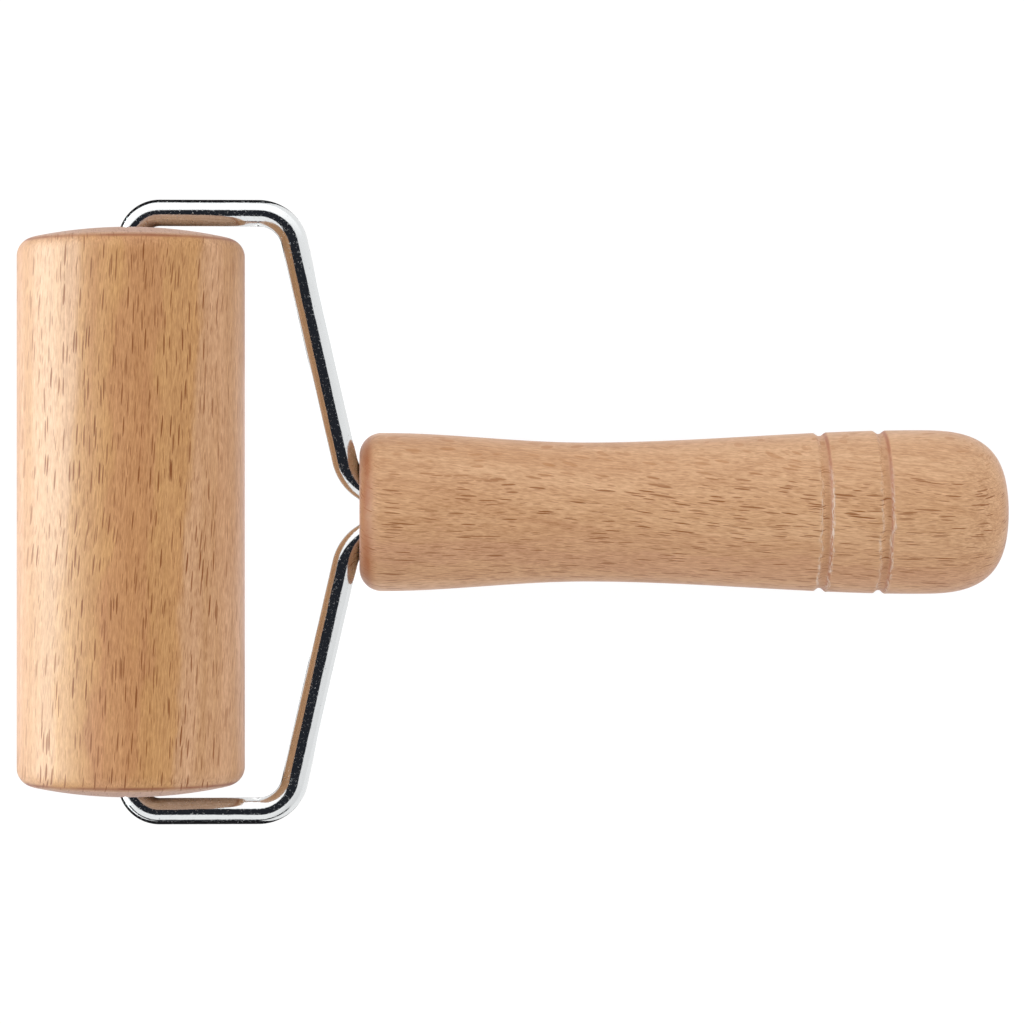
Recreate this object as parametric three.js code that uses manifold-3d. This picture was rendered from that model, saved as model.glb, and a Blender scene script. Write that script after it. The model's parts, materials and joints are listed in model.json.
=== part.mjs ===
// A T-handled hand roller, lying on a table.
//
// A turned beech roller spins loosely on the stub axles of two bent wire arms. The legs of
// the arms run side by side into a mortise in the front of a turned beech handle.
//
// Units are millimetres. The tool frame has its origin in the middle of the roller's axis,
// +X along the handle, +Y along the roller's axis and +Z up. The finished group rests on the
// roller and on the handle's rear swell, with its origin under the middle of its box.

import * as THREE from 'three';
import { mergeVertices } from 'three/addons/utils/BufferGeometryUtils.js';
import Module from 'manifold-3d';

const wasm = await Module();
wasm.setup();

// ---- Driving dimensions ----------------------------------------------------------------

const CLEARANCE = 0.3; // left between pieces that would touch

// Roller
const ROLLER_RADIUS = 20.6;
const ROLLER_LENGTH = 103.1; // over both domed ends
const DOME_RISE = 2.6; // height of each domed end
const ROLLER_EDGE_RADIUS = 3.4; // rounding between the barrel and a dome
const BORE_RADIUS = 3.5; // a plain loose hole right through
const COUNTERSINK_RADIUS = 4.8; // each mouth, opened for the bend of the wire
const COUNTERSINK_DEPTH = 1.2;
const ROLLER_SEGMENTS = 60;

// Wire arms
const WIRE_RADIUS = 2.4;
const ARM_OFFSET = 54.3; // centre of an arm's straight run, from the middle plane
const STUB_DEPTH = 34; // how far a stub axle reaches in from its arm's straight run
const SHOULDER_X = 28.45; // where an arm's straight run would meet its sloping run
const SLOPE = THREE.MathUtils.degToRad(12.8); // of the sloping run, away from the Y axis
const LEG_OFFSET = 2.7; // centre of a leg, from the middle plane
const LEG_DEPTH = 40; // how far a leg reaches into the handle
const AXLE_BEND = 5.2; // bend radii, on the wire's centre line
const SHOULDER_BEND = 6.67;
const LEG_BEND = 8.5;
const WIRE_SIDES = 12;
const WIRE_STEPS = 84;

// Handle, with stations measured back from its flat front face
const HANDLE_X = 41.4; // the front face, from the roller's axis
const HANDLE_LENGTH = 118.2;
const FACE_RADIUS = 10.3; // of the flat front face
const FRONT_EDGE_RADIUS = 4.1;
const WAIST = { station: 41, radius: 12.67 };
const REAR_SWELL = { station: 101.7, radius: 15 };
const END_POWER = 3; // of the superellipse that closes the rear end
const GROOVE_STATIONS = [83.9, 94.75];
const GROOVE_WIDTH = 2.3;
const GROOVE_DEPTH = 0.6;
const HANDLE_SEGMENTS = 48;

// Mortise in the handle
const MORTISE_END_GAP = 1; // beyond the ends of the legs
const MOUTH_HALF_WIDTH = 8.8; // flared for the bends of the legs
const FLARE_DEPTH = 6;

// ---- Materials -------------------------------------------------------------------------

const beech = new THREE.MeshStandardMaterial({ color: 0xcf9f72, roughness: 0.55, metalness: 0 });
const beechHandle = new THREE.MeshStandardMaterial({ color: 0xd0a078, roughness: 0.5, metalness: 0 });
const chrome = new THREE.MeshStandardMaterial({ color: 0xe6e8ea, roughness: 0.08, metalness: 1 });

// ---- Solids ----------------------------------------------------------------------------

// Turns a closed three.js geometry into a manifold solid.
function toSolid(geometry) {
  const bare = geometry.clone();
  bare.deleteAttribute('normal');
  bare.deleteAttribute('uv');
  const merged = mergeVertices(bare, 1e-4);
  return new wasm.Manifold(
    new wasm.Mesh({
      numProp: 3,
      vertProperties: Float32Array.from(merged.attributes.position.array),
      triVerts: Uint32Array.from(merged.index.array),
    })
  );
}

// Turns a manifold solid back into a three.js geometry.
function toGeometry(solid) {
  const { vertProperties, triVerts } = solid.getMesh();
  const geometry = new THREE.BufferGeometry();
  geometry.setAttribute('position', new THREE.BufferAttribute(vertProperties, 3));
  geometry.setIndex(new THREE.BufferAttribute(triVerts, 1));
  geometry.computeVertexNormals();
  return geometry;
}

function namedMesh(name, geometry, material) {
  const mesh = new THREE.Mesh(geometry, material);
  mesh.name = name;
  return mesh;
}

// ---- Roller ----------------------------------------------------------------------------

// One end of the roller's outline as (radius, y) points: from the barrel round the edge,
// up the dome, and down the countersink to the bore.
function rollerEnd() {
  const top = ROLLER_LENGTH / 2;
  const domeRadius = (ROLLER_RADIUS ** 2 + DOME_RISE ** 2) / (2 * DOME_RISE);
  const domeCentre = top - domeRadius;
  const edgeX = ROLLER_RADIUS - ROLLER_EDGE_RADIUS;
  const edgeAngle = Math.asin(edgeX / (domeRadius - ROLLER_EDGE_RADIUS));
  const edgeY = domeCentre + (domeRadius - ROLLER_EDGE_RADIUS) * Math.cos(edgeAngle);
  const mouthAngle = Math.asin(COUNTERSINK_RADIUS / domeRadius);

  const edge = new THREE.EllipseCurve(
    edgeX, edgeY, ROLLER_EDGE_RADIUS, ROLLER_EDGE_RADIUS, 0, Math.PI / 2 - edgeAngle
  );
  const dome = new THREE.EllipseCurve(
    0, domeCentre, domeRadius, domeRadius, Math.PI / 2 - edgeAngle, Math.PI / 2 - mouthAngle
  );
  return [
    ...edge.getPoints(6),
    ...dome.getPoints(4).slice(1),
    new THREE.Vector2(BORE_RADIUS, top - COUNTERSINK_DEPTH),
  ];
}

function makeRoller() {
  const upper = rollerEnd();
  const lower = upper.map((point) => new THREE.Vector2(point.x, -point.y)).reverse();
  const outline = [...lower, ...upper, lower[0]];
  return namedMesh('roller', new THREE.LatheGeometry(outline, ROLLER_SEGMENTS), beech);
}

// ---- Wire arms -------------------------------------------------------------------------

// The centre line of a bent wire in the XY plane: straight runs between corners, with every
// inner corner rounded to its own bend radius.
class BentWire extends THREE.Curve {
  constructor(corners, bendRadii) {
    super();
    this.route = new THREE.Path();
    this.route.moveTo(corners[0].x, corners[0].y);
    bendRadii.forEach((radius, i) => this.addBend(corners[i], corners[i + 1], corners[i + 2], radius));
    const last = corners[corners.length - 1];
    this.route.lineTo(last.x, last.y);
  }

  // Runs straight towards a corner, then round it until the wire points at the next one.
  addBend(before, corner, after, radius) {
    const inward = corner.clone().sub(before).normalize();
    const outward = after.clone().sub(corner).normalize();
    const turn = Math.atan2(inward.cross(outward), inward.dot(outward));
    const setback = radius * Math.tan(Math.abs(turn) / 2);
    const start = corner.clone().addScaledVector(inward, -setback);
    const side = Math.sign(turn);
    const toCentre = new THREE.Vector2(-inward.y, inward.x).multiplyScalar(side * radius);
    const centre = start.clone().add(toCentre);
    const startAngle = Math.atan2(-toCentre.y, -toCentre.x);
    this.route.lineTo(start.x, start.y);
    this.route.absarc(centre.x, centre.y, radius, startAngle, startAngle + turn, side < 0);
  }

  getPoint(t, target = new THREE.Vector3()) {
    const { x, y } = this.route.getPoint(t);
    return target.set(x, y, 0);
  }
}

// One arm: stub axle, straight run past the roller's end, sloping run and leg. Its side is
// +1 or -1, for the sign of Y.
function makeArm(name, side) {
  const legX = SHOULDER_X + (ARM_OFFSET - LEG_OFFSET) * Math.tan(SLOPE);
  const corners = [
    new THREE.Vector2(0, side * (ARM_OFFSET - STUB_DEPTH)),
    new THREE.Vector2(0, side * ARM_OFFSET),
    new THREE.Vector2(SHOULDER_X, side * ARM_OFFSET),
    new THREE.Vector2(legX, side * LEG_OFFSET),
    new THREE.Vector2(HANDLE_X + LEG_DEPTH, side * LEG_OFFSET),
  ];
  const section = new THREE.Shape();
  section.absarc(0, 0, WIRE_RADIUS, 0, 2 * Math.PI);
  const geometry = new THREE.ExtrudeGeometry(section, {
    extrudePath: new BentWire(corners, [AXLE_BEND, SHOULDER_BEND, LEG_BEND]),
    steps: WIRE_STEPS,
    curveSegments: WIRE_SIDES / 2, // a full circle takes two sides for each
  });
  return namedMesh(name, geometry, chrome);
}

// ---- Handle ----------------------------------------------------------------------------

// The handle's radius between its front edge and its rear swell, without the grooves: it
// eases from the front swell down to the waist and up to the rear swell.
function bodyRadius(station) {
  const front = { station: FRONT_EDGE_RADIUS, radius: FACE_RADIUS + FRONT_EDGE_RADIUS };
  const [from, to] = station < WAIST.station ? [front, WAIST] : [WAIST, REAR_SWELL];
  const eased = THREE.MathUtils.smoothstep(station, from.station, to.station);
  return THREE.MathUtils.lerp(from.radius, to.radius, eased);
}

// How deep the V grooves are at a station.
function grooveDepth(station) {
  const depths = GROOVE_STATIONS.map((centre) => 1 - Math.abs(station - centre) / (GROOVE_WIDTH / 2));
  return GROOVE_DEPTH * Math.max(0, ...depths);
}

// The stations of the handle's body: even steps, and the three points of each V groove.
function bodyStations() {
  const steps = 16;
  const even = Array.from({ length: steps + 1 }, (_, i) =>
    THREE.MathUtils.lerp(FRONT_EDGE_RADIUS, REAR_SWELL.station, i / steps)
  );
  const grooves = GROOVE_STATIONS.flatMap((centre) => [-1, 0, 1].map((k) => centre + (k * GROOVE_WIDTH) / 2));
  const clear = even.filter((station) => grooves.every((edge) => Math.abs(station - edge) > GROOVE_WIDTH / 4));
  return [...clear, ...grooves].sort((a, b) => a - b);
}

// The handle's outline as (radius, station) points, from the middle of the front face round
// the front edge, along the body, and over the rear end.
function handleOutline() {
  const edge = new THREE.EllipseCurve(
    FACE_RADIUS, FRONT_EDGE_RADIUS, FRONT_EDGE_RADIUS, FRONT_EDGE_RADIUS, -Math.PI / 2, 0
  );
  const body = bodyStations()
    .slice(1, -1)
    .map((station) => new THREE.Vector2(bodyRadius(station) - grooveDepth(station), station));
  const endLength = HANDLE_LENGTH - REAR_SWELL.station;
  const endSteps = 10;
  const end = Array.from({ length: endSteps }, (_, i) => {
    const angle = (i / endSteps) * (Math.PI / 2);
    const along = Math.sin(angle) ** (2 / END_POWER);
    const across = Math.cos(angle) ** (2 / END_POWER);
    return new THREE.Vector2(REAR_SWELL.radius * across, REAR_SWELL.station + endLength * along);
  });
  return [new THREE.Vector2(0, 0), ...edge.getPoints(5), ...body, ...end, new THREE.Vector2(0, HANDLE_LENGTH)];
}

// The mortise: a flat-sided slot a little higher than the wire, with its mouth flared for
// the bends of the legs.
function mortiseSolid() {
  const halfWidth = LEG_OFFSET + WIRE_RADIUS + CLEARANCE;
  const height = 2 * (WIRE_RADIUS + CLEARANCE);
  const endX = LEG_DEPTH + MORTISE_END_GAP;
  const outside = -2; // where the cutter starts, in front of the face
  const cutter = new THREE.Shape();
  cutter.moveTo(outside, -MOUTH_HALF_WIDTH);
  cutter.lineTo(0, -MOUTH_HALF_WIDTH);
  cutter.lineTo(FLARE_DEPTH, -halfWidth);
  cutter.lineTo(endX, -halfWidth);
  cutter.lineTo(endX, halfWidth);
  cutter.lineTo(FLARE_DEPTH, halfWidth);
  cutter.lineTo(0, MOUTH_HALF_WIDTH);
  cutter.lineTo(outside, MOUTH_HALF_WIDTH);
  cutter.closePath();
  const geometry = new THREE.ExtrudeGeometry(cutter, { depth: height, bevelEnabled: false });
  return toSolid(geometry.translate(0, 0, -height / 2));
}

function makeHandle() {
  const turned = new THREE.LatheGeometry(handleOutline(), HANDLE_SEGMENTS).rotateZ(-Math.PI / 2);
  const geometry = toGeometry(toSolid(turned).subtract(mortiseSolid()));
  const handle = namedMesh('handle', geometry, beechHandle);
  handle.position.x = HANDLE_X;
  return handle;
}

// ---- The tool, lying down --------------------------------------------------------------

// How far the tool tips about the roller's axis before the handle meets the table: a point
// of the outline at distance d along and r across touches down when d sin a + r cos a is the
// roller's radius, and the first point to do so stops the tool.
function lyingAngle() {
  const angles = handleOutline()
    .filter((point) => point.x > 0)
    .map(({ x: r, y: station }) => {
      const d = HANDLE_X + station;
      return Math.asin(ROLLER_RADIUS / Math.hypot(d, r)) - Math.atan2(r, d);
    });
  return Math.min(...angles);
}

// The furthest that the tipped handle reaches along X from the roller's axis.
function reachAlongX(angle) {
  const reaches = handleOutline().map(
    ({ x: r, y: station }) => (HANDLE_X + station) * Math.cos(angle) + r * Math.sin(angle)
  );
  return Math.max(...reaches);
}

function makeHandRoller() {
  const angle = lyingAngle();
  const frame = new THREE.Group();
  frame.rotation.y = angle;
  frame.add(makeArm('right_arm', 1), makeArm('left_arm', -1), makeHandle());

  const tool = new THREE.Group();
  tool.add(makeRoller(), frame);
  tool.position.set((ROLLER_RADIUS - reachAlongX(angle)) / 2, 0, ROLLER_RADIUS);

  const part = new THREE.Group();
  part.name = 'hand_roller';
  part.add(tool);
  return part;
}

export default makeHandRoller();
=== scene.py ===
"""Looks for a T-handled hand roller: a turned beech roller on two chromed wire arms."""

import json
import logging
import math
from dataclasses import dataclass
from enum import Enum
from typing import Any, Sequence

import bpy
import numpy as np
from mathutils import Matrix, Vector


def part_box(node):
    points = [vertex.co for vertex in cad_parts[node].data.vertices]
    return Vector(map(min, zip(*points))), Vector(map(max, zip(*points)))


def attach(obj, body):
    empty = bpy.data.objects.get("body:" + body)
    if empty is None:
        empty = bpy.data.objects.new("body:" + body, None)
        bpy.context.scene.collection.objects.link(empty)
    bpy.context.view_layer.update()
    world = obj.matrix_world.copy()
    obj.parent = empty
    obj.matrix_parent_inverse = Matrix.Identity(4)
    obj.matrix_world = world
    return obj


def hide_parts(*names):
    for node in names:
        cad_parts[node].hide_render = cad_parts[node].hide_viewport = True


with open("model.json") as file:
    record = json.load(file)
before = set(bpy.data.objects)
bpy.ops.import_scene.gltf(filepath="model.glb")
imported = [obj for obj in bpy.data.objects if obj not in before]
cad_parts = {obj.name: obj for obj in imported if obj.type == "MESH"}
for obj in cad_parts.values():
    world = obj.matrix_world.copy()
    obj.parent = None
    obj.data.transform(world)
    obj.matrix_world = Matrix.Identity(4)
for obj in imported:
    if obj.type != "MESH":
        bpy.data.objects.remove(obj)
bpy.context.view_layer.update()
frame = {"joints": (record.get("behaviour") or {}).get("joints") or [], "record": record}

LOG = logging.getLogger("hand_roller")
MM = 0.001
Array = np.ndarray
Material = bpy.types.Material
Object = bpy.types.Object
Socket = bpy.types.NodeSocket


# ---- where the tool lies


@dataclass(frozen=True)
class Lie:
    """How the tool lies on the table: the roller's axis, and how far the handle dips below it."""

    axis: Array
    dip: float

    @classmethod
    def from_frame(cls) -> "Lie":
        """Reads the roller's axis from the joint and the dip from the handle's front face."""
        joint = frame["joints"][0]
        face = next(m for m in frame["record"]["mounts"] if m["name"] == "handle_front_face")
        return cls(np.array(joint["pos_m"], float), math.atan2(face["axis"][2], -face["axis"][0]))

    def place(self, tool: Array) -> Array:
        """Puts points of the tool into the scene.

        The tool's own X is turned down by the dip about the roller's axis, then moved to that axis.

        Args:
            tool: points in the tool's own frame, in metres, with the roller's axis at the origin.

        Returns:
            The same points in the scene.
        """
        c, s = math.cos(self.dip), math.sin(self.dip)
        x, y, z = tool[..., 0], tool[..., 1], tool[..., 2]
        return np.stack((x * c + z * s, y, z * c - x * s), axis=-1) + self.axis


# ---- surfaces


class Ends(Enum):
    """How the first and last ring of a surface are closed."""

    JOINED = "joined"
    CAPPED = "capped"


def smoothstep(t: Array) -> Array:
    """Eases from 0 to 1: three t squared less two t cubed, held at 0 and 1 outside."""
    t = np.clip(t, 0.0, 1.0)
    return t * t * (3.0 - 2.0 * t)


def bell(distance: Array, width: float) -> Array:
    """A bell curve of that half width: e to the power of minus the square of distance over width."""
    return np.exp(-((distance / width) ** 2))


def signed_volume(points: Array, faces: Array) -> float:
    """Sums each triangle's corner product over six, which is positive when faces point outwards."""
    a, b, c = (points[faces[:, k]] for k in range(3))
    return float(np.einsum("ij,ij->i", a, np.cross(b, c)).sum() / 6.0)


def make_surface(name: str, rings: Array, ends: Ends, marks: dict[str, Array]) -> Object:
    """Makes a closed mesh from rings of points.

    Neighbouring points of neighbouring rings make a four-sided face. Joined ends run the last ring
    on to the first. Capped ends close each with a fan to the middle of its ring.

    Args:
        name: the piece's name.
        rings: points, shaped rings by points in a ring by 3, in metres.
        ends: how the first and last ring are closed.
        marks: one number for each point, shaped rings by points in a ring, for each named mark.

    Returns:
        The new object, at the origin.
    """
    count, around = rings.shape[:2]
    index = np.arange(count * around).reshape(count, around)
    near = index if ends is Ends.JOINED else index[:-1]
    far = np.roll(index, -1, axis=0)[: len(near)]
    quads = np.stack((near, np.roll(near, -1, axis=1), np.roll(far, -1, axis=1), far), axis=-1)
    quads = quads.reshape(-1, 4)
    points = rings.reshape(-1, 3)
    fans = np.zeros((0, 3), int)
    values = {key: value.reshape(-1) for key, value in marks.items()}
    if ends is Ends.CAPPED:
        first, last = index[0], index[-1]
        poles = np.stack((rings[0].mean(axis=0), rings[-1].mean(axis=0)))
        low, high = len(points), len(points) + 1
        points = np.vstack((points, poles))
        fans = np.vstack((
            np.stack((np.full(around, low), np.roll(first, -1), first), axis=-1),
            np.stack((np.full(around, high), last, np.roll(last, -1)), axis=-1),
        ))
        values = {
            key: np.concatenate((value, [value[:around].mean(), value[-around:].mean()]))
            for key, value in values.items()
        }
    triangles = np.vstack((quads[:, [0, 1, 2]], quads[:, [0, 2, 3]], fans))
    if signed_volume(points, triangles) < 0.0:
        quads, fans = quads[:, ::-1], fans[:, ::-1]
    mesh = bpy.data.meshes.new(name)
    mesh.from_pydata(points.tolist(), [], quads.tolist() + fans.tolist())
    mesh.polygons.foreach_set("use_smooth", np.ones(len(mesh.polygons), bool))
    for key, value in values.items():
        layer = mesh.attributes.new(key, "FLOAT", "POINT")
        layer.data.foreach_set("value", value.astype(np.float32))
    mesh.validate()
    mesh.update()
    piece = bpy.data.objects.new(name, mesh)
    bpy.context.scene.collection.objects.link(piece)
    return piece


def finish_piece(piece: Object, body: str, node: str, material: Material) -> None:
    """Args:
        piece: the finished mesh object.
        body: the body that it rides on.
        node: the CAD node that it stands for.
        material: its finish.
    """
    piece.data.materials.append(material)
    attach(piece, body)
    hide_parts(node)
    LOG.info("%s: %d faces, rides on %s", piece.name, len(piece.data.polygons), body)


# ---- shader expressions


class Signal:
    """A number that varies over a surface. Arithmetic on it adds Math nodes."""

    def __init__(self, bench: "Bench", socket: Socket) -> None:
        """Keeps the bench that the number is made on and the socket that it comes from."""
        self.bench = bench
        self.socket = socket

    def _math(self, operation: str, *values: Any) -> "Signal":
        """Adds one Math node with that operation on those values."""
        made = self.bench.node("ShaderNodeMath", {"operation": operation}, dict(enumerate(values)))
        return Signal(self.bench, made.outputs[0])

    def __add__(self, other: Any) -> "Signal":
        """Self plus other."""
        return self._math("ADD", self, other)

    def __radd__(self, other: Any) -> "Signal":
        """Other plus self."""
        return self._math("ADD", other, self)

    def __sub__(self, other: Any) -> "Signal":
        """Self less other."""
        return self._math("SUBTRACT", self, other)

    def __rsub__(self, other: Any) -> "Signal":
        """Other less self."""
        return self._math("SUBTRACT", other, self)

    def __mul__(self, other: Any) -> "Signal":
        """Self times other."""
        return self._math("MULTIPLY", self, other)

    def __truediv__(self, other: Any) -> "Signal":
        """Self divided by other."""
        return self._math("DIVIDE", self, other)

    def __neg__(self) -> "Signal":
        """Self with its sign turned."""
        return self * -1.0

    def __abs__(self) -> "Signal":
        """Self without its sign."""
        return self._math("ABSOLUTE", self)

    def __pow__(self, other: Any) -> "Signal":
        """Self to the power of other."""
        return self._math("POWER", self, other)

    def fraction(self) -> "Signal":
        """What is left of self above the whole number below it."""
        return self._math("FRACT", self)

    def most(self, other: Any) -> "Signal":
        """The larger of self and other."""
        return self._math("MAXIMUM", self, other)

    def clamp(self) -> "Signal":
        """Self, held between 0 and 1."""
        return self.ease(0.0, 1.0, kind="LINEAR")

    def ease(self, start: float, end: float, kind: str = "SMOOTHSTEP") -> "Signal":
        """Eases from 0 where self is start to 1 where self is end.

        Args:
            start: the value that becomes 0.
            end: the value that becomes 1. It may be below start.
            kind: the interpolation between them.

        Returns:
            The eased number.
        """
        flip = end < start
        inputs = {"Value": self, "From Min": min(start, end), "From Max": max(start, end)}
        inputs |= {"To Min": 1.0 if flip else 0.0, "To Max": 0.0 if flip else 1.0}
        made = self.bench.node("ShaderNodeMapRange", {"interpolation_type": kind}, inputs)
        return Signal(self.bench, made.outputs["Result"])


class Bench:
    """Where one material is put together."""

    def __init__(self, tree: bpy.types.NodeTree) -> None:
        """Starts with an empty node tree."""
        self.tree = tree
        self.tree.nodes.clear()

    @classmethod
    def for_material(cls, name: str) -> tuple["Bench", Material]:
        """Makes a new material and a bench to build it on."""
        material = bpy.data.materials.new(name)
        material.use_nodes = True
        return cls(material.node_tree), material

    def node(
        self,
        kind: str,
        settings: dict[str, Any] | None = None,
        inputs: dict[Any, Any] | None = None,
    ) -> bpy.types.Node:
        """Adds a node.

        Args:
            kind: the node's type.
            settings: its settings, set before its sockets.
            inputs: a value, a Signal or an output socket for each named or numbered input.

        Returns:
            The new node.
        """
        made = self.tree.nodes.new(kind)
        for key, value in (settings or {}).items():
            setattr(made, key, value)
        for key, value in (inputs or {}).items():
            socket = made.inputs[key]
            if isinstance(value, Signal):
                self.tree.links.new(value.socket, socket)
            elif isinstance(value, Socket):
                self.tree.links.new(value, socket)
            elif socket.type == "RGBA" and len(value) == 3:
                socket.default_value = (*value, 1.0)
            else:
                socket.default_value = value
        return made

    def mix(self, factor: Any, first: Any, second: Any, how: str = "MIX") -> Socket:
        """Mixes two colours: first where factor is 0, second where it is 1."""
        settings = {"data_type": "RGBA", "blend_type": how, "clamp_factor": True}
        return self.node("ShaderNodeMix", settings, {0: factor, 6: first, 7: second}).outputs[2]

    def mark(self, name: str) -> Signal:
        """A mark that the mesh carries at its points."""
        settings = {"attribute_name": name, "attribute_type": "GEOMETRY"}
        made = self.node("ShaderNodeAttribute", settings)
        return Signal(self, made.outputs["Fac"])

    def place(self) -> Socket:
        """The point's place in the scene at rest, in metres."""
        return self.node("ShaderNodeTexCoord").outputs["Object"]

    def stretch(
        self,
        vector: Any,
        size: Sequence[float],
        centre: Sequence[float] = (0, 0, 0),
        turn: Sequence[float] = (0, 0, 0),
    ) -> Socket:
        """Measures a place from a centre, along turned axes, in units of size."""
        inputs = {"Vector": vector, "Location": tuple(centre), "Rotation": tuple(turn)}
        inputs["Scale"] = tuple(size)
        return self.node("ShaderNodeMapping", {"vector_type": "TEXTURE"}, inputs).outputs[0]

    def noise(self, vector: Any, detail: float = 2.0, roughness: float = 0.5) -> Signal:
        """Smooth noise, about 0.5 on average, with features about one unit across."""
        inputs = {"Vector": vector, "Scale": 1.0, "Detail": detail, "Roughness": roughness}
        return Signal(self, self.node("ShaderNodeTexNoise", None, inputs).outputs[0])

    def cells(self, vector: Any) -> tuple[Signal, Signal]:
        """Scatters points, about one to a unit.

        Args:
            vector: the place to measure from.

        Returns:
            Distance to the nearest point, and that point's own random number from 0 to 1.
        """
        made = self.node("ShaderNodeTexVoronoi", {"feature": "F1"}, {"Vector": vector, "Scale": 1.0})
        lot = self.node("ShaderNodeSeparateColor", None, {0: made.outputs["Color"]})
        return Signal(self, made.outputs["Distance"]), Signal(self, lot.outputs[0])

    def parts(self, vector: Any) -> tuple[Signal, Signal, Signal]:
        """The three components of a vector."""
        made = self.node("ShaderNodeSeparateXYZ", None, {0: vector})
        return tuple(Signal(self, made.outputs[k]) for k in range(3))

    def surface(self, inputs: dict[str, Any]) -> None:
        """Makes the material's surface: one Principled shader with those inputs."""
        shader = self.node("ShaderNodeBsdfPrincipled", None, inputs)
        self.node("ShaderNodeOutputMaterial", None, {"Surface": shader.outputs[0]})


# ---- finishes


Colour = tuple[float, float, float]


@dataclass(frozen=True)
class Flecks:
    """One family of ray flecks: how far apart, how large and how strong.

    spacing is along the grain, across it and into the wood, in metres. reach is a fleck's half size
    as a share of the spacing. share is how many of the scattered places carry a fleck.
    """

    spacing: tuple[float, float, float]
    reach: float
    strength: float
    share: float = 1.0


@dataclass(frozen=True)
class Beech:
    """Turned beech under a thin satin finish.

    The pattern is solid: X of the wood runs along the grain, Y across the rays' thin side and Z
    along the rays, from the pith outwards. A ray is a thin blade, so it shows as a short dark dash
    on a face square to Z and as a broad fleck on a face square to Y. heart is the middle and half
    width of a deeper-coloured zone, measured along Y of the wood. That zone is heartwood with
    bands of ember. dash and patch colour the flecks on those two kinds of face. burnt colours the
    burnished edges and also paints shade on the rear walls of the handle's grooves. fibre colours
    the torn fibres: paler wood with a painted highlight on it. rim colours the end grain, paler and
    pinker, partly a painted sheen of the ends seen at a slant. Each size is a pattern's length
    along X, Y and Z of the wood, in metres.
    """

    name: str
    centre: tuple[float, float, float]
    turn: tuple[float, float, float]
    pale: Colour
    warm: Colour
    heartwood: Colour
    ember: Colour
    heart: tuple[float, float]
    dash: Colour
    patch: Colour
    burnt_and_shade: Colour
    families: tuple[Flecks, ...]
    torn_fibre_and_glint: Colour = (0.74, 0.61, 0.50)
    rim: Colour = (0.58, 0.37, 0.26)
    drift_size: tuple[float, float, float] = (0.055, 0.016, 0.016)
    drift_reach: tuple[float, float, float] = (0.0, 0.0035, 0.0035)
    figure_size: tuple[float, float, float] = (0.11, 0.0065, 0.0042)
    ember_size: tuple[float, float, float] = (0.09, 0.0050, 0.0040)
    streak_size: tuple[float, float, float] = (0.011, 0.00055, 0.0009)
    pore_size: tuple[float, float, float] = (0.0018, 0.00022, 0.00030)
    cloud_size: tuple[float, float, float] = (0.012, 0.004, 0.004)
    ring_width: float = 0.0023
    relief: float = 0.00006

    def fleck_mask(self, bench: Bench, wood: Any, family: Flecks) -> Signal:
        """Draws spindle-shaped flecks round scattered points, each with its own strength.

        Args:
            bench: where the material is put together.
            wood: the place in the wood.
            family: the flecks' spacing, reach, strength and share.

        Returns:
            1 in the strongest fleck, 0 outside them all.
        """
        core, soft = 0.80, 0.1
        distance, lot = bench.cells(bench.stretch(wood, family.spacing))
        body = distance.ease(family.reach, family.reach * core)
        chosen = lot.ease(1.0 - soft - family.share, 1.0 + soft - family.share)
        return body * chosen * (lot * 0.5 + 0.5) * family.strength

    def wander(self, bench: Bench, wood: Any) -> Socket:
        """Bends the straight grain a few millimetres sideways, slowly along its length.

        The place is moved by noise less a half, times the drift's reach.

        Args:
            bench: where the material is put together.
            wood: the place in the straight wood.

        Returns:
            The place in the wandering wood.
        """
        spot = bench.stretch(wood, self.drift_size)
        noise = {"Vector": spot, "Scale": 1.0, "Detail": 3.0}
        place = bench.node("ShaderNodeTexNoise", None, noise).outputs["Color"]
        steps = (("SUBTRACT", (0.5,) * 3), ("MULTIPLY", self.drift_reach), ("ADD", wood))
        for step, value in steps:
            sides = {0: place, 1: value}
            place = bench.node("ShaderNodeVectorMath", {"operation": step}, sides).outputs[0]
        return place

    def material(self) -> Material:
        """Builds the wood.

        Returns:
            A material with a deeper-coloured zone, wandering figure, growth rings, fine streaks and
            families of ray flecks. Where the mesh carries those marks, its edges are burnished and the
            rear walls of its grooves carry painted shade, its ends are paler with plainer rings and
            partly a painted sheen, and its fibres are torn and paler, partly a painted highlight.
        """
        bench, material = Bench.for_material(self.name)
        wood = bench.stretch(bench.place(), (1, 1, 1), self.centre, self.turn)
        wavy = self.wander(bench, wood)
        _, across, deep = bench.parts(wavy)

        figure = bench.noise(bench.stretch(wavy, self.figure_size), 2.5, 0.55).ease(0.30, 0.72)
        streak = bench.noise(bench.stretch(wavy, self.streak_size), 2.0, 0.6) - 0.5
        pores = bench.noise(bench.stretch(wavy, self.pore_size), 2.0, 0.6) - 0.5
        cloud = bench.noise(bench.stretch(wavy, self.cloud_size), 3.0, 0.55) - 0.5
        heart_middle, heart_half = self.heart
        off = abs(across - heart_middle)
        zone = (off + cloud * 0.004).ease(heart_half * 1.08, heart_half * 0.92)
        inner = (off + cloud * 0.012).ease(heart_half * 0.50, heart_half * 0.25)
        bands = bench.noise(bench.stretch(wavy, self.ember_size), 2.0).ease(0.5, 0.7)
        ember = (bands * 0.5 + inner * 0.7).clamp()
        end = bench.mark("end")
        late = (deep / self.ring_width + cloud * 0.9).fraction().ease(0.45, 0.97)
        flecks = self.fleck_mask(bench, wavy, self.families[0])
        for family in self.families[1:]:
            flecks = flecks.most(self.fleck_mask(bench, wavy, family))
        quarter = bench.mark("quarter").ease(0.72, 0.95)
        flecks = flecks * (1.0 - end * 0.35) * (1.0 - quarter * 0.35)

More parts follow.
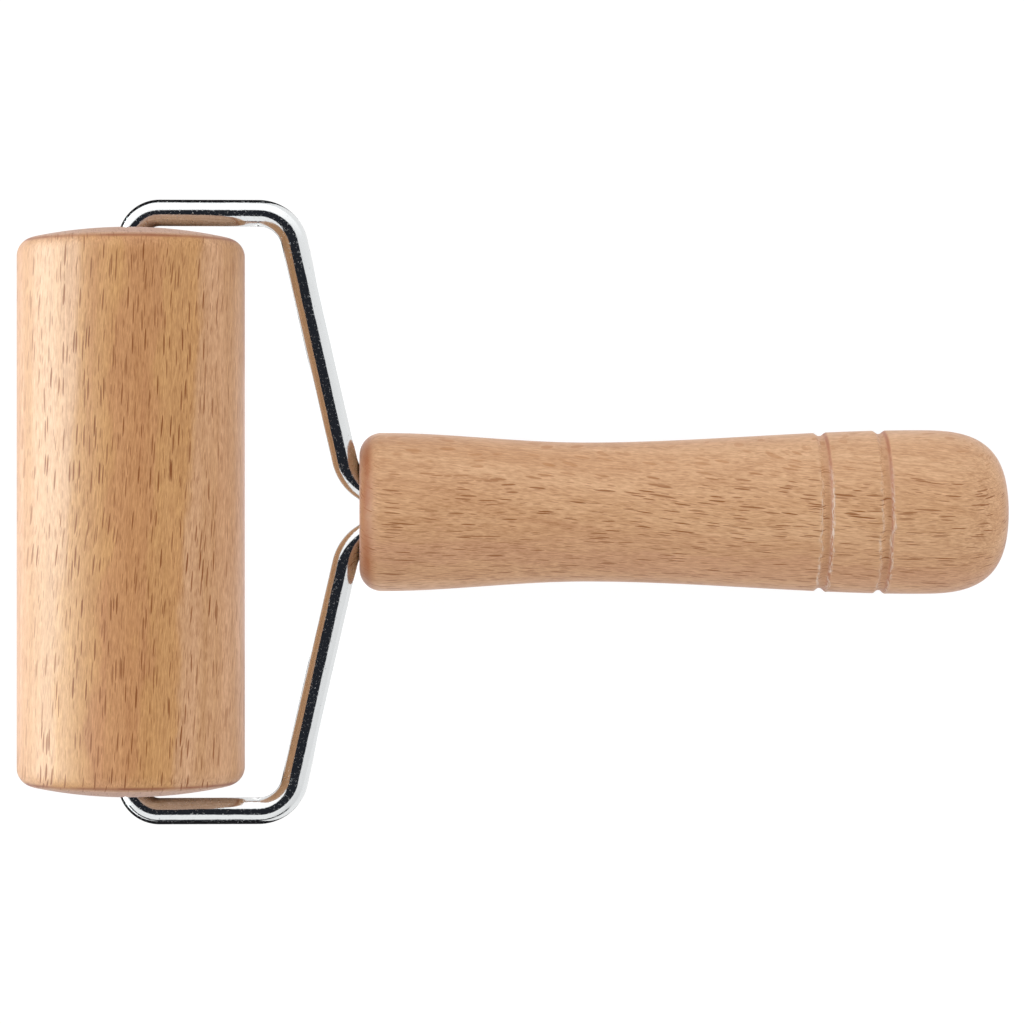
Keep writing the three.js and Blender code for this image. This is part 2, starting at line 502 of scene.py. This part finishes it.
        colour = bench.mix(figure, self.pale, self.warm)
        colour = bench.mix(zone * 0.8, colour, bench.mix(ember, self.heartwood, self.ember))
        # The ends take the rim colour: end grain, and partly a painted sheen of the ends seen at a
        # slant.
        colour = bench.mix(end * 0.6, colour, self.rim)
        tone = streak * 0.50 + pores * 1.20 + cloud * 0.25 + 1.0 - late * (end * 0.17 + 0.05)
        channels = {0: tone * 0.7 + 0.3, 1: tone, 2: tone * 1.4 - 0.4}
        shade = bench.node("ShaderNodeCombineColor", None, channels).outputs[0]
        colour = bench.mix(1.0, colour, shade, "MULTIPLY")
        colour = bench.mix(flecks, colour, bench.mix(quarter, self.dash, self.patch))
        # Burnished edges, and painted shade on the rear walls of the handle's grooves, in the burnt
        # colour.
        burnish_and_shade = (bench.mark("burnish_and_shade") * (cloud * 2.2 + pores * 1.5 + 1.0)).clamp()
        colour = bench.mix(burnish_and_shade, colour, self.burnt_and_shade)
        # Torn fibres, paler than the wood and partly a painted highlight.
        fray = bench.mark("fray")
        colour = bench.mix(fray, colour, self.torn_fibre_and_glint)

        height = pores * 0.30 + streak * 0.15 - flecks * 0.15
        relief = {"Strength": 0.4, "Distance": self.relief, "Height": height}
        bump = bench.node("ShaderNodeBump", None, relief)
        rough = flecks * 0.10 + streak * 0.12 + 0.60 - burnish_and_shade * 0.04 + fray * 0.1
        bench.surface({
            "Base Color": colour,
            "Roughness": rough,
            "IOR": 1.5,
            "Normal": bump.outputs[0],
            "Coat Weight": 0.25 - flecks * 0.2,
            "Coat Roughness": 0.55,
            "Sheen Weight": 0.25,
            "Sheen Roughness": 0.35,
            "Sheen Tint": (0.88, 0.82, 1.0),
        })
        return material


@dataclass(frozen=True)
class BrightChrome:
    """Bright chrome plate on drawn wire, with a slow sway, fine grain and a few dull specks.

    Each spacing is a pattern's size in metres.
    """

    name: str
    tint: Colour = (0.72, 0.735, 0.74)
    speck_tint: Colour = (0.55, 0.56, 0.57)
    roughness: float = 0.06
    speck_spacing: float = 0.0010
    haze_spacing: float = 0.004
    grain_spacing: float = 0.0004
    sway_spacing: float = 0.005
    relief: float = 0.0001

    def material(self) -> Material:
        """Builds the plate.

        Returns:
            A metal whose roughness rises in scattered specks, in fine grain and in slow patches.
        """
        bench, material = Bench.for_material(self.name)
        place = bench.place()
        distance, lot = bench.cells(bench.stretch(place, (self.speck_spacing,) * 3))
        specks = distance.ease(0.15, 0.05) * lot.ease(0.72, 0.92)
        haze = bench.noise(bench.stretch(place, (self.haze_spacing,) * 3), 2.0)
        grain = bench.noise(bench.stretch(place, (self.grain_spacing,) * 3), 2.0)
        sway = bench.noise(bench.stretch(place, (self.sway_spacing,) * 3), 1.0)
        height = specks * 0.15 + sway * 1.3 + grain * 0.04
        relief = {"Strength": 1.0, "Distance": self.relief, "Height": height}
        bump = bench.node("ShaderNodeBump", None, relief)
        rough = self.roughness + haze * 0.03 + grain.ease(0.50, 0.72) * 0.24 + specks * 0.4
        bench.surface({
            "Base Color": bench.mix(specks, self.tint, self.speck_tint),
            "Metallic": 1.0,
            "Roughness": rough,
            "Normal": bump.outputs[0],
        })
        return material


# ---- the roller


@dataclass
class Roller:
    """The turned beech roller: a barrel with slightly domed ends, rounded edges and a plain bore.

    ridge_turn is how far round the edge's arc from the axis the burnished ridge lies.
    """

    lie: Lie
    radius: float = 20.6 * MM
    length: float = 103.1 * MM
    dome_rise: float = 2.6 * MM
    edge_radius: float = 3.4 * MM
    bore_radius: float = 3.5 * MM
    countersink_radius: float = 4.8 * MM
    countersink_depth: float = 1.2 * MM
    ridge_turn: float = math.radians(38)
    ridge_width: float = 0.28 * MM
    around: int = 360

    def end_profile(self) -> tuple[Array, Array, Array, Array]:
        """Works out half of the roller's outline, from the middle of the bore out to the barrel.

        The dome is part of a sphere through the rise at the roller's radius. The edge is an arc that
        touches both the dome and the barrel.

        Returns:
            Distance along the axis from the middle, distance from the axis, the burnished ridge
            with the bore and its countersink darkened too, from 0 to 1, and 1 on the end beyond the
            burnished ridge.
        """
        dome = (self.radius**2 + self.dome_rise**2) / (2 * self.dome_rise)
        centre = self.length / 2 - dome
        edge = math.asin((self.radius - self.edge_radius) / (dome - self.edge_radius))
        mouth = math.asin(self.countersink_radius / dome)
        slope = np.linspace(mouth, edge, 26)[1:]
        dome_y, dome_r = centre + dome * np.cos(slope), dome * np.sin(slope)
        turn = np.linspace(edge, math.pi / 2, 30)[1:]
        arc_y = centre + (dome - self.edge_radius) * math.cos(edge) + self.edge_radius * np.cos(turn)
        arc_r = self.radius - self.edge_radius + self.edge_radius * np.sin(turn)
        mouth_y = centre + dome * math.cos(mouth)
        sink = np.linspace(0.0, 1.0, 5)
        sink_y = mouth_y - self.countersink_depth * (1 - sink)
        sink_r = self.bore_radius + (self.countersink_radius - self.bore_radius) * sink
        bore_y = np.linspace(0.0, sink_y[0], 8)[:-1]
        shoulder = arc_y[-1] - np.array([0.3, 0.8, 1.6, 3.0]) * MM
        barrel_y = np.concatenate((shoulder, np.linspace(shoulder[-1], 0.0, 42)[1:]))
        y = np.concatenate((bore_y, sink_y, dome_y, arc_y, barrel_y))
        bore_r = np.full(len(bore_y), self.bore_radius)
        barrel_r = np.full(len(barrel_y), self.radius)
        r = np.concatenate((bore_r, sink_r, dome_r, arc_r, barrel_r))
        ridge = arc_y[-1] + self.edge_radius * math.cos(self.ridge_turn)
        burnish_and_shade = 0.95 * bell(y - ridge, self.ridge_width) * (r > self.radius - 3 * MM)
        # The bore and its countersink are darkened too.
        burnish_and_shade += 0.35 * (r < self.countersink_radius + 0.2 * MM)
        end = smoothstep((y - ridge) / (0.4 * MM) + 0.2)
        return y, r, np.clip(burnish_and_shade, 0.0, 1.0), end

    def build(self, material: Material) -> Object:
        """Turns the outline round the axis into one closed surface with the bore through it.

        Each ring is a circle: sine and cosine of the angle times the outline's distance from the axis.

        Args:
            material: the wood.

        Returns:
            The roller.
        """
        y, r, burnish_and_shade, end = self.end_profile()
        y = np.concatenate((y, -y[-2:0:-1]))
        r = np.concatenate((r, r[-2:0:-1]))
        burnish_and_shade, end = (np.concatenate((mark, mark[-2:0:-1])) for mark in (burnish_and_shade, end))
        angle = np.linspace(0.0, 2 * math.pi, self.around, endpoint=False)
        worn = 0.75 + 0.25 * np.sin(3 * angle + 0.8) * np.cos(2 * angle)
        along = np.repeat(y[:, None], self.around, 1)
        rings = np.stack((r[:, None] * np.sin(angle), along, r[:, None] * np.cos(angle)), axis=-1)
        marks = {
            "burnish_and_shade": burnish_and_shade[:, None] * worn,
            "end": np.repeat(end[:, None], self.around, 1),
            "quarter": np.repeat(np.abs(np.sin(angle))[None, :], len(y), 0),
        }
        piece = make_surface("roller_barrel", rings + self.lie.axis, Ends.JOINED, marks)
        finish_piece(piece, "roller", "roller", material)
        return piece


# ---- the wire arms


@dataclass
class WireArm:
    """One bent wire arm: stub axle, run past the roller's end, sloping run and leg."""

    lie: Lie
    side: int
    name: str
    node: str
    wire_radius: float = 2.4 * MM
    offset: float = 54.3 * MM
    stub_depth: float = 34.0 * MM
    shoulder: float = 28.45 * MM
    slope: float = math.radians(12.8)
    leg_offset: float = 2.7 * MM
    leg_end: float = 81.4 * MM
    bends: tuple[float, float, float] = (5.2 * MM, 6.67 * MM, 8.5 * MM)
    chamfer: float = 0.5 * MM
    around: int = 48

    def corners(self) -> Array:
        """The corners of the wire's middle line before its bends are rounded, in the tool's XY plane."""
        leg = self.shoulder + (self.offset - self.leg_offset) * math.tan(self.slope)
        return np.array([
            (0.0, self.offset - self.stub_depth),
            (0.0, self.offset),
            (self.shoulder, self.offset),
            (leg, self.leg_offset),
            (self.leg_end, self.leg_offset),
        ])

    def middle_line(self) -> tuple[Array, Array]:
        """Rounds the corners into bends and steps along the line.

        A bend of radius R through an angle A starts R times the tangent of half A before its corner,
        and its middle lies R to the inside of the line there.

        Returns:
            Points of the middle line and the unit direction at each.
        """
        corners = self.corners()
        points, ways = [], []
        start = corners[0]
        for k, bend in enumerate(self.bends, start=1):
            way_in = (corners[k] - corners[k - 1]) / np.linalg.norm(corners[k] - corners[k - 1])
            way_out = (corners[k + 1] - corners[k]) / np.linalg.norm(corners[k + 1] - corners[k])
            turn = math.atan2(way_in[0] * way_out[1] - way_in[1] * way_out[0], float(way_in @ way_out))
            begin = corners[k] - way_in * bend * math.tan(abs(turn) / 2)
            inside = np.array((-way_in[1], way_in[0])) * math.copysign(1.0, turn)
            count = max(2, int(np.linalg.norm(begin - start) / (1.0 * MM)))
            steps = np.linspace(0.0, 1.0, count)[:-1, None]
            points.append(start + (begin - start) * steps)
            ways.append(np.repeat(way_in[None], len(steps), 0))
            swing = np.linspace(0.0, turn, 45)
            c, s = np.cos(swing), np.sin(swing)
            middle = begin + inside * bend
            points.append(np.stack((
                middle[0] - bend * (inside[0] * c - inside[1] * s),
                middle[1] - bend * (inside[0] * s + inside[1] * c),
            ), axis=-1))
            x, y = way_in
            ways.append(np.stack((x * c - y * s, x * s + y * c), axis=-1))
            start = points[-1][-1]
        steps = np.linspace(0.0, 1.0, 44)[1:, None]
        points.append(start + (corners[-1] - start) * steps)
        ways.append(np.repeat(ways[-1][-1:], len(steps), 0))
        return np.vstack(points), np.vstack(ways)

    def build(self, material: Material) -> Object:
        """Carries a circle along the middle line, drawn in to a chamfer at both cut ends.

        A ring's point is the middle point, plus the radius times the cosine of its angle to the side
        of the line, plus the radius times its sine upwards.

        Args:
            material: the plate.

        Returns:
            The arm.
        """
        line, way = self.middle_line()
        travel = np.concatenate(([0.0], np.cumsum(np.linalg.norm(np.diff(line, axis=0), axis=1))))
        extra = np.array([0.0, 0.25, 0.5, 0.56]) * MM
        stops = np.unique(np.concatenate((travel, extra, travel[-1] - extra)))
        line = np.stack([np.interp(stops, travel, line[:, k]) for k in range(2)], axis=-1)
        way = np.stack([np.interp(stops, travel, way[:, k]) for k in range(2)], axis=-1)
        way /= np.linalg.norm(way, axis=1, keepdims=True)
        to_end = np.minimum(stops, travel[-1] - stops)
        radius = self.wire_radius - np.clip(self.chamfer - to_end, 0.0, None)
        angle = np.linspace(0.0, 2 * math.pi, self.around, endpoint=False)
        aside = np.stack((way[:, 1], -way[:, 0]), axis=-1)
        reach = radius[:, None, None] * np.cos(angle)[None, :, None]
        flat = line[:, None, :] + reach * aside[:, None, :]
        up = radius[:, None] * np.sin(angle)[None, :]
        rings = np.concatenate((flat, up[..., None]), axis=-1)
        rings[..., 1] *= self.side
        piece = make_surface(self.name, self.lie.place(rings), Ends.CAPPED, {})
        finish_piece(piece, "frame", self.node, material)
        return piece


# ---- the handle


@dataclass
class Handle:
    """The turned beech handle: flat front face, waist, two cut V grooves, swell and round end.

    A burnished band is its strength, how far it lies behind the front face or a groove's middle,
    and its half width. The groove ones are a burnished lip and painted shade on the wall behind
    each groove's middle, which faces the roller. A torn lip is its distance from a groove's middle
    as a share of the groove's width, and its strength.
    """

    lie: Lie
    front: float = 41.4 * MM
    length: float = 118.16 * MM
    face_radius: float = 10.3 * MM
    front_edge: float = 4.1 * MM
    waist_at: float = 41.0 * MM
    waist_radius: float = 12.67 * MM
    swell_at: float = 101.7 * MM
    swell_radius: float = 14.96 * MM
    end_power: float = 3.0
    grooves: tuple[float, ...] = (83.9 * MM, 94.75 * MM)
    groove_width: float = 2.2 * MM
    groove_depth: float = 0.6 * MM
    slot_radius: float = 2.7 * MM
    slot_half_width: float = 5.4 * MM
    mouth_half_width: float = 8.8 * MM
    mouth_depth: float = 6.0 * MM
    slot_depth: float = 41.0 * MM
    ray_tilt: float = math.radians(28)
    front_burnish: tuple[float, float, float] = (0.85, 1.3 * MM, 0.95 * MM)
    # Painted shade on each groove's rear wall, which faces the roller, with a burnished lip.
    groove_burnish_and_shade: tuple[tuple[float, float, float], ...] = (
        (1.0, 0.78 * MM, 0.25 * MM),
        (0.22, 0.3 * MM, 0.6 * MM),
    )
    torn_lips: tuple[tuple[float, float], ...] = ((-0.50, 0.8), (0.42, 1.0))
    torn_height: float = 0.10 * MM
    tip_radius: float = 0.01 * MM
    around: int = 360
    fray_seed: int = 5

    def body_radius(self, station: Array) -> Array:
        """The handle's radius without its grooves at each distance behind the front face.

        A quarter circle rounds the front edge, then two smooth steps lead down to the waist and up to
        the swell, and a rounded cube's outline closes the rear end.

        Args:
            station: distances behind the front face.

        Returns:
            The radius at each.
        """
        edge = self.front_edge
        shoulder = self.face_radius + edge
        rounded = self.face_radius + np.sqrt(np.clip(edge**2 - (edge - station) ** 2, 0.0, None))
        fall = smoothstep((station - edge) / (self.waist_at - edge))
        rise = smoothstep((station - self.waist_at) / (self.swell_at - self.waist_at))
        down = shoulder + (self.waist_radius - shoulder) * fall
        up = (self.swell_radius - self.waist_radius) * rise
        past = np.clip((station - self.swell_at) / (self.length - self.swell_at), 0.0, 1.0)
        closing = (1.0 - past**self.end_power) ** (1.0 / self.end_power)
        return np.where(station < edge, rounded, (down + up) * closing)

    def groove_cut(self, station: Array) -> Array:
        """Works out how deep the grooves are cut: a V with softened lips and a narrow flat bottom.

        Args:
            station: distances behind the front face.

        Returns:
            The depth of the cut at each.
        """
        cut = np.zeros_like(station)
        for middle in self.grooves:
            across = np.abs(station - middle) / (self.groove_width / 2)
            cut += self.groove_depth * smoothstep(1.12 - across) ** 0.8
        return cut

    def stations(self) -> Array:
        """Distances behind the front face, close together at the front edge, grooves and rear end."""
        front = self.front_edge * (1 - np.cos(np.linspace(0.0, math.pi / 2, 22)))
        near = [middle + np.linspace(-1.9, 1.9, 39) * MM for middle in self.grooves]
        body = np.arange(self.front_edge + 0.8 * MM, self.swell_at, 0.8 * MM)
        clear = np.all([np.abs(body - middle) > 2.3 * MM for middle in self.grooves], axis=0)
        past = np.sin(np.linspace(0.0, math.pi / 2, 40))
        rear = self.swell_at + (self.length - self.swell_at) * past**1.6
        return np.unique(np.concatenate((front, *near, body[clear], rear)))

    def slot_ring(self, station: float, half_width: float, half_height: float, angle: Array) -> Array:
        """Makes a flat ring with round ends: a circle whose two halves are drawn apart sideways.

        Args:
            station: its distance behind the front face.
            half_width: from its middle to its round ends.
            half_height: the radius of its round ends.
            angle: the angles of its points.

        Returns:
            The ring's points.
        """
        apart = (half_width - half_height) * np.clip(3.0 * np.cos(angle), -1.0, 1.0)
        y = apart + half_height * np.cos(angle)
        return np.stack((np.full_like(y, station), y, half_height * np.sin(angle)), axis=-1)

    def mortise_rings(self, angle: Array) -> Array:
        """Lines the mortise, from its blind end out through its flared mouth and over the flat face.

        Args:
            angle: the angles of each ring's points.

        Returns:
            The rings, in that order.
        """
        rings = []
        for share in (0.25, 0.7, 0.97):
            half, radius = self.slot_half_width * share, self.slot_radius * share
            rings.append(self.slot_ring(self.slot_depth, half, radius, angle))
        straight = np.linspace(self.slot_depth - 0.1 * MM, self.mouth_depth, 8)
        for depth in (*straight, 4 * MM, 2 * MM, 0.5 * MM, 0.12 * MM):
            flare = np.clip(1 - depth / self.mouth_depth, 0.0, 1.0)
            half = self.slot_half_width + (self.mouth_half_width - self.slot_half_width) * flare
            rings.append(self.slot_ring(depth, half, self.slot_radius, angle))
        mouth = self.slot_ring(0.0, self.mouth_half_width + 0.1 * MM, self.slot_radius + 0.1 * MM, angle)
        rim = np.stack((np.zeros_like(angle), np.cos(angle), np.sin(angle)), axis=-1) * self.face_radius
        for share in (0.0, 0.3, 0.65, 0.94):
            rings.append(mouth * (1 - share) + rim * share)
        return np.array(rings)

    def fray(self, station: Array, angle: Array) -> Array:
        """Tears fibres at the grooves' lips: noise, strongest on the side towards minus Y.

        Args:
            station: distances behind the front face.
            angle: angles round the handle's axis.

        Returns:
            How torn the wood is, from 0 to 1, shaped stations by angles.
        """
        rng = np.random.default_rng(self.fray_seed)
        noise = rng.random((len(station), len(angle)))
        noise = (noise + np.roll(noise, 1, 1) + 0.5 * np.roll(noise, 2, 1)) / 2.5
        spread = np.convolve(np.tile(rng.standard_normal(len(angle)), 3), np.full(9, 1 / 9), "same")
        spread = spread[len(angle) : 2 * len(angle)]
        lip = np.zeros(noise.shape)
        for middle, weight, shift in zip(self.grooves, (1.0, 0.75), (0, 60)):
            for edge, part in self.torn_lips:
                place = middle + edge * self.groove_width + 0.4 * MM * np.roll(spread, shift)
                lip += weight * part * bell(station[:, None] - place[None, :], 0.26 * MM)
        torn = smoothstep(0.62 - 0.9 * np.cos(angle + 0.25))
        return smoothstep((noise - 0.40) / 0.25) * np.clip(lip, 0.0, 1.0) * torn[None, :]

    def build(self, material: Material) -> Object:
        """Turns the outline round the handle's axis, and joins it to the mortise through the front face.

        Each outer ring is a circle: the radius less the groove's cut, plus a little for torn fibres.

        Args:
            material: the wood.

        Returns:
            The handle.
        """
        angle = np.linspace(0.0, 2 * math.pi, self.around, endpoint=False)
        station = self.stations()[:-1]
        cut = self.groove_cut(station)
        fray = self.fray(station, angle)
        radius = (self.body_radius(station) - cut)[:, None] + self.torn_height * fray
        radius = np.minimum(radius, self.swell_radius)
        c, s = np.cos(angle), np.sin(angle)
        along = np.repeat(station[:, None], self.around, 1)
        outer = np.stack((along, radius * c, radius * s), axis=-1)
        far = np.full_like(angle, self.length)
        tip = np.stack((far, c * self.tip_radius, s * self.tip_radius), axis=-1)
        inner = self.mortise_rings(angle)
        rings = np.concatenate((inner, outer, tip[None]))
        rings[..., 0] += self.front
        strength, place, width = self.front_burnish
        burnish_and_shade = strength * bell(station - place, width)
        # The grooves: painted shade on the wall behind each middle, and a burnished lip.
        for middle in self.grooves:
            for strength, place, width in self.groove_burnish_and_shade:
                burnish_and_shade += strength * bell(station - middle - place, width)
        padding = np.zeros((len(inner), self.around))
        quarter = np.repeat(np.abs(np.cos(angle - self.ray_tilt))[None, :], len(rings), 0)
        marks = {
            "burnish_and_shade": np.vstack((padding, np.repeat(burnish_and_shade[:, None], self.around, 1), padding[:1])),
            "fray": np.vstack((padding, 0.85 * fray, padding[:1])),
            "quarter": quarter,
        }
        piece = make_surface("turned_handle", self.lie.place(rings), Ends.CAPPED, marks)
        finish_piece(piece, "frame", "handle", material)
        return piece


# ---- the studio


@dataclass(frozen=True)
class Panel:
    """A flat soft light: where its middle is, where it faces, its width and height, and how bright.

    One that does not light surfaces shows only in their sheen.
    """

    name: str
    middle: tuple[float, float, float]
    faces: tuple[float, float, float]
    width: float
    height: float
    radiance: float
    lights_surfaces: bool = True
    tint: Colour = (1.0, 1.0, 1.0)

    def build(self) -> Object:
        """Makes the light. A flat light's power is its radiance times pi times its area."""
        lamp = bpy.data.lights.new(self.name, "AREA")
        lamp.shape = "RECTANGLE"
        lamp.size, lamp.size_y = self.width, self.height
        lamp.color = self.tint
        lamp.energy = self.radiance * math.pi * self.width * self.height
        piece = bpy.data.objects.new(self.name, lamp)
        bpy.context.scene.collection.objects.link(piece)
        middle, target = Vector(self.middle), Vector(self.faces)
        piece.location = middle
        piece.rotation_mode = "QUATERNION"
        piece.rotation_quaternion = (target - middle).to_track_quat("-Z", "Y")
        piece.visible_camera = False
        piece.visible_diffuse = self.lights_surfaces
        return piece


@dataclass
class Studio:
    """A plain pale floor, a soft ring of light with a dark gap overhead, and a camera straight above.

    gap_middle and gap_half place the dark gap in the sky, as tangents of the angle from straight up
    along X and Y. The dark cards lie on the floor past the roller's ends, and only bright
    reflections show them: they are painted shade on the floor round the tool, and draw the dark
    edge that polished wire has against a white board.
    A card is its sides at x0, x1, y0 and y1. A board's look is how much light it gives back and how
    much it gives of its own.
    """

    camera_height: float = 0.7
    camera_x: float = -0.00033
    lens: float = 135.6
    floor_half: float = 4.0
    gap_middle: tuple[float, float] = (-0.50, -0.08)
    gap_half: tuple[float, float] = (1.10, 0.495)
    gap_shade: Colour = (0.020, 0.022, 0.028)
    gap_power: float = 6.0
    least: float = 0.02
    sky: tuple[float, float, float] = (1.17, 0.35, -0.08)
    floor_look: tuple[float, float] = (0.12, 0.94)
    bounce_look: tuple[float, float] = (0.60, 0.0)
    glow_look: tuple[float, float] = (0.1, 1.45)
    card_shade: Colour = (0.012, 0.012, 0.014)
    card_height: float = 0.3 * MM
    glow_height: float = 0.2 * MM
    bounce_height: float = -0.2 * MM
    panels: tuple[Panel, ...] = (
        Panel("soft_left", (-0.62, 0.03, 0.12), (0.0, 0.0, 0.02), 0.8, 0.40, 1.8),
        Panel(
            "sheen_left", (-0.55, 0.02, 0.13), (0.0, 0.0, 0.02), 0.9, 0.24, 11.0,
            lights_surfaces=False, tint=(0.80, 1.0, 1.0),
        ),
    )
    # Painted shade: dark cards on the floor round the tool, seen only in reflections.
    cards: tuple[tuple[float, float, float, float], ...] = (
        (-0.130, -0.0360, 0.046, 0.169),
        (-0.130, -0.0360, -4.0, -0.046),
        (-0.048, -0.0360, 0.026, 0.049),
        (-0.048, -0.0360, -0.049, -0.026),
    )
    glow_cards: tuple[tuple[float, float, float, float], ...] = (
        (-1.0, -0.115, -0.6, 0.6),
        (-0.049, -0.020, -0.046, 0.046),
    )

    def board_material(self, name: str, shade: float, glow: float) -> Material:
        """Makes plain white board.

        Args:
            name: the material's name.
            shade: how much light it gives back.
            glow: how much it gives of its own.

        Returns:
            The material.
        """
        bench, material = Bench.for_material(name)
        bench.surface({
            "Base Color": (shade,) * 3,
            "Roughness": 0.9,
            "Specular IOR Level": 0.0,
            "Emission Color": (1.0, 1.0, 1.0),
            "Emission Strength": glow,
        })
        return material

    def make_board(self, name: str, sides: Sequence[float], height: float, material: Material) -> Object:
        """Makes a flat board that belongs to the studio.

        Args:
            name: the board's name.
            sides: where its sides lie: x0, x1, y0 and y1.
            height: how high it lies.
            material: its finish.

        Returns:
            The board.
        """
        x0, x1, y0, y1 = sides
        corners = [(x0, y0, height), (x1, y0, height), (x1, y1, height), (x0, y1, height)]
        mesh = bpy.data.meshes.new(name)
        mesh.from_pydata(corners, [], [(0, 1, 2, 3)])
        mesh.materials.append(material)
        board = bpy.data.objects.new(name, mesh)
        bpy.context.scene.collection.objects.link(board)
        return board

    def make_floor(self) -> None:
        """Lays the pale floor that is seen, and just under it the greyer one that lights the tool."""
        sides = (-self.floor_half, self.floor_half, -self.floor_half, self.floor_half)
        pale = self.board_material("pale_floor", *self.floor_look)
        floor = self.make_board("floor", sides, 0.0, pale)
        floor.visible_diffuse = floor.visible_shadow = False
        grey = self.board_material("bounce_board", *self.bounce_look)
        bounce = self.make_board("bounce_board", sides, self.bounce_height, grey)
        bounce.visible_camera = False

    def make_cards(self) -> None:
        """Lays the dark and the glowing cards just above the floor, where the eye does not see them."""
        # Painted shade on the floor round the tool, which only reflections show.
        bench, black = Bench.for_material("dark_card")
        bench.surface({"Base Color": self.card_shade, "Roughness": 1.0, "Specular IOR Level": 0.0})
        for number, sides in enumerate(self.cards, start=1):
            card = self.make_board(f"dark_card_{number}", sides, self.card_height, black)
            card.visible_camera = card.visible_diffuse = card.visible_shadow = False
        glowing = self.board_material("glow_card", *self.glow_look)
        for number, sides in enumerate(self.glow_cards, start=1):
            glow = self.make_board(f"glow_card_{number}", sides, self.glow_height, glowing)
            glow.visible_camera = glow.visible_shadow = False

    def make_world(self) -> None:
        """A pale room to the eye. To the tool it is a bright sky with a dark gap overhead.

        The gap is a rectangle with round corners: the distances from its middle, each over its half
        width and to the sixth power, add up to 1 at its edge. A dark flag stands low down past the
        left arm, and only bright reflections show it.
        """
        world = bpy.data.worlds.new("studio")
        world.use_nodes = True
        bpy.context.scene.world = world
        bench = Bench(world.node_tree)
        path = bench.node("ShaderNodeLightPath")
        x, y, z = bench.parts(bench.node("ShaderNodeTexCoord").outputs["Generated"])
        up = z.most(self.least)
        over = abs((x / up - self.gap_middle[0]) / self.gap_half[0]) ** self.gap_power
        over = over + abs((y / up - self.gap_middle[1]) / self.gap_half[1]) ** self.gap_power
        soft = Signal(bench, path.outputs["Is Diffuse Ray"])
        aside = x / (-y).most(self.least)
        flag = z.ease(0.26, 0.22) * aside.ease(0.9, 0.7) * aside.ease(-2.0, -1.6) * (-y).ease(0.0, 0.1)
        gap = (over.ease(1.35, 0.75) * (1.0 - soft * 0.3)).most(flag * (1.0 - soft))
        base, far, near = self.sky
        level = y.ease(0.1, 0.8) * (1.0 - soft * 0.6) * far + (-y).ease(0.1, 0.8) * near + base
        level = level - x.ease(0.1, 0.7) * (1.0 - soft) * 0.2
        sky = bench.node("ShaderNodeCombineColor", None, {0: level, 1: level, 2: level}).outputs[0]
        seen = bench.mix(gap, sky, self.gap_shade)
        seen = bench.mix(path.outputs["Is Camera Ray"], seen, (1.0, 1.0, 1.0))
        backdrop = bench.node("ShaderNodeBackground", None, {"Color": seen, "Strength": 1.0})
        bench.node("ShaderNodeOutputWorld", None, {"Surface": backdrop.outputs[0]})

    def make_camera(self, axis_height: float) -> None:
        """Hangs a long lens straight above the tool, with the handle to the right.

        Args:
            axis_height: the height of the roller's axis, which the camera's height is measured from.
        """
        eye = bpy.data.cameras.new("camera")
        eye.lens = self.lens
        eye.sensor_width = 36.0
        eye.clip_start, eye.clip_end = 0.05, 20.0
        camera = bpy.data.objects.new("camera", eye)
        camera.location = (self.camera_x, 0.0, axis_height + self.camera_height)
        bpy.context.scene.collection.objects.link(camera)
        bpy.context.scene.camera = camera

    def build(self, axis_height: float) -> None:
        """Sets up floor, room, lights and camera.

        Args:
            axis_height: the height of the roller's axis.
        """
        self.make_floor()
        self.make_cards()
        self.make_world()
        for panel in self.panels:
            panel.build()
        self.make_camera(axis_height)
        bpy.context.scene.view_settings.view_transform = "Standard"
        bpy.context.scene.view_settings.look = "None"


# ---- the whole tool


def main() -> None:
    """Builds the roller, the arms, the handle and the studio, in that order."""
    logging.basicConfig(level=logging.INFO, format="%(name)s: %(message)s")
    lie = Lie.from_frame()
    low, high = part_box("handle")
    middle = (low + high) / 2
    large = Flecks((0.0078, 0.00050, 0.0055), reach=0.29, strength=1.0, share=0.80)
    small = Flecks((0.0038, 0.00032, 0.0040), reach=0.27, strength=0.60, share=0.7)
    short = Flecks((0.0062, 0.00040, 0.0038), reach=0.28, strength=1.0, share=0.75)
    fine = Flecks((0.0032, 0.00028, 0.0030), reach=0.27, strength=0.55, share=0.75)
    slender = Flecks((0.016, 0.00080, 0.012), reach=0.18, strength=0.95, share=0.35)
    roller_beech = Beech(
        "roller_beech",
        centre=tuple(lie.axis + np.array((0.0, 0.0, 3 * MM))),
        turn=(math.radians(8), 0.0, math.radians(87.0)),
        pale=(0.61, 0.335, 0.172),
        warm=(0.510, 0.258, 0.100),
        heartwood=(0.55, 0.268, 0.080),
        ember=(0.51, 0.218, 0.074),
        heart=(0.001, 0.0105),
        dash=(0.235, 0.062, 0.002),
        patch=(0.36, 0.150, 0.050),
        burnt_and_shade=(0.30, 0.092, 0.024),
        families=(large, small),
    )
    handle_beech = Beech(
        "handle_beech",
        centre=tuple(middle),
        turn=(math.radians(28), 0.0, math.radians(-5.5)),
        pale=(0.63, 0.358, 0.184),
        warm=(0.56, 0.294, 0.138),
        heartwood=(0.56, 0.295, 0.138),
        ember=(0.53, 0.262, 0.130),
        heart=(-0.004, 0.007),
        dash=(0.25, 0.074, 0.006),
        patch=(0.45, 0.195, 0.065),
        burnt_and_shade=(0.38, 0.125, 0.036),
        families=(short, fine, slender),
    )
    chrome = BrightChrome("bright_chrome").material()
    Roller(lie).build(roller_beech.material())
    WireArm(lie, 1, "right_wire_arm", "right_arm").build(chrome)
    WireArm(lie, -1, "left_wire_arm", "left_arm").build(chrome)
    Handle(lie).build(handle_beech.material())
    Studio().build(float(lie.axis[2]))


if __name__ == "__main__":
    main()
